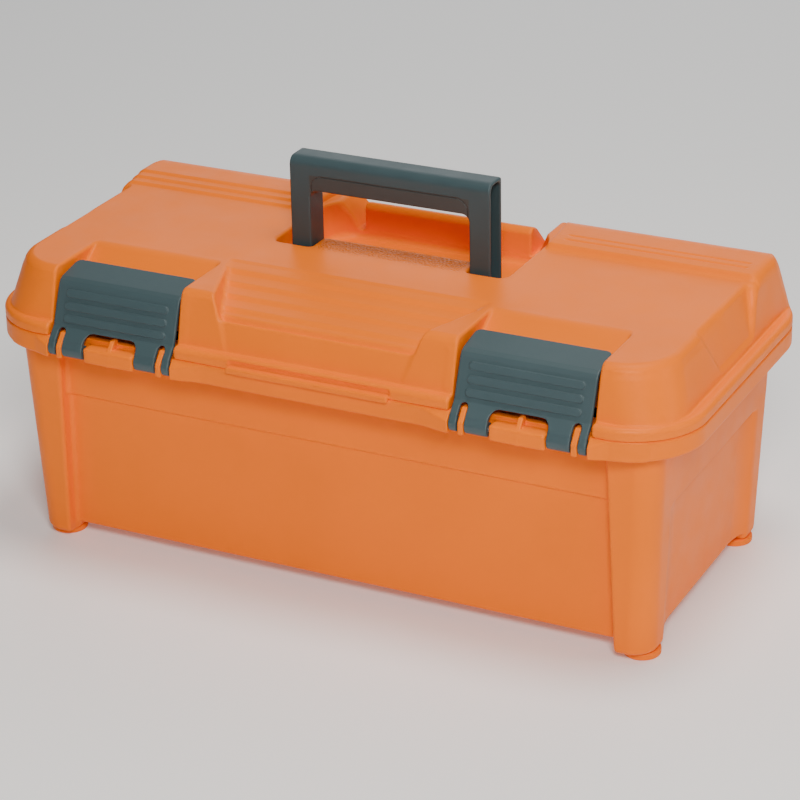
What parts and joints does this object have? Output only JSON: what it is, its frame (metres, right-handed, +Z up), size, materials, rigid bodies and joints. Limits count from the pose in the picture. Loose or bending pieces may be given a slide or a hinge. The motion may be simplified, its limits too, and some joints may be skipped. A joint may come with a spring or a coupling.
{
  "type": "toolbox with tray",
  "caption": "Moulded plastic toolbox with a hinged lid, front latches, a folding carrying handle and a lift-out divided tray.",
  "frame": {"origin": "centre of the footprint, on the ground under the feet", "axes": "+X along the box's length, +Y from the latches to the hinges, +Z up"},
  "size_m": [0.462, 0.2396, 0.248],
  "materials": {
    "orange_plastic": "semi-matte moulded polypropylene",
    "slate_plastic": "semi-matte moulded plastic",
    "charcoal_plastic": "matte moulded plastic",
    "steel": "drawn wire"
  },
  "bodies": {
    "tub": {"tub": "orange_plastic", "foot_front_left": "orange_plastic", "foot_front_right": "orange_plastic", "foot_rear_left": "orange_plastic", "foot_rear_right": "orange_plastic", "latch_pin_left": "steel", "latch_pin_right": "steel", "hinge_pin_left": "steel", "hinge_pin_right": "steel"},
    "lid": {"lid": "orange_plastic", "handle_pin_left": "steel", "handle_pin_right": "steel"},
    "handle": {"handle": "slate_plastic"},
    "latch_left": {"latch_left": "slate_plastic"},
    "latch_right": {"latch_right": "slate_plastic"},
    "tray": {"tray": "charcoal_plastic", "tray_divider_1": "charcoal_plastic", "tray_divider_2": "charcoal_plastic", "tray_divider_3": "charcoal_plastic", "tray_divider_4": "charcoal_plastic", "tray_handle": "charcoal_plastic"}
  },
  "joints": [
    {"name": "lid_hinge", "type": "hinge", "parent": "tub", "child": "lid", "pos_m": [0, 0.1153, 0.1515], "axis": [-1, 0, 0], "range_deg": [0, 105]},
    {"name": "handle_fold", "type": "hinge", "parent": "lid", "child": "handle", "pos_m": [0, 0.003, 0.178], "axis": [-1, 0, 0], "range_deg": [0, 90]},
    {"name": "latch_left_hinge", "type": "hinge", "parent": "tub", "child": "latch_left", "pos_m": [-0.135, -0.1153, 0.1445], "axis": [1, 0, 0], "range_deg": [0, 150]},
    {"name": "latch_right_hinge", "type": "hinge", "parent": "tub", "child": "latch_right", "pos_m": [0.135, -0.1153, 0.1445], "axis": [1, 0, 0], "range_deg": [0, 150]},
    {"name": "tray_lift", "type": "slide", "parent": "tub", "child": "tray", "axis": [0, 0, 1], "range_m": [0, 0.101]}
  ],
  "couplings": [
    {"joint": "tray_lift", "follows": "lid_hinge", "m_per_rad": 0.055}
  ]
}
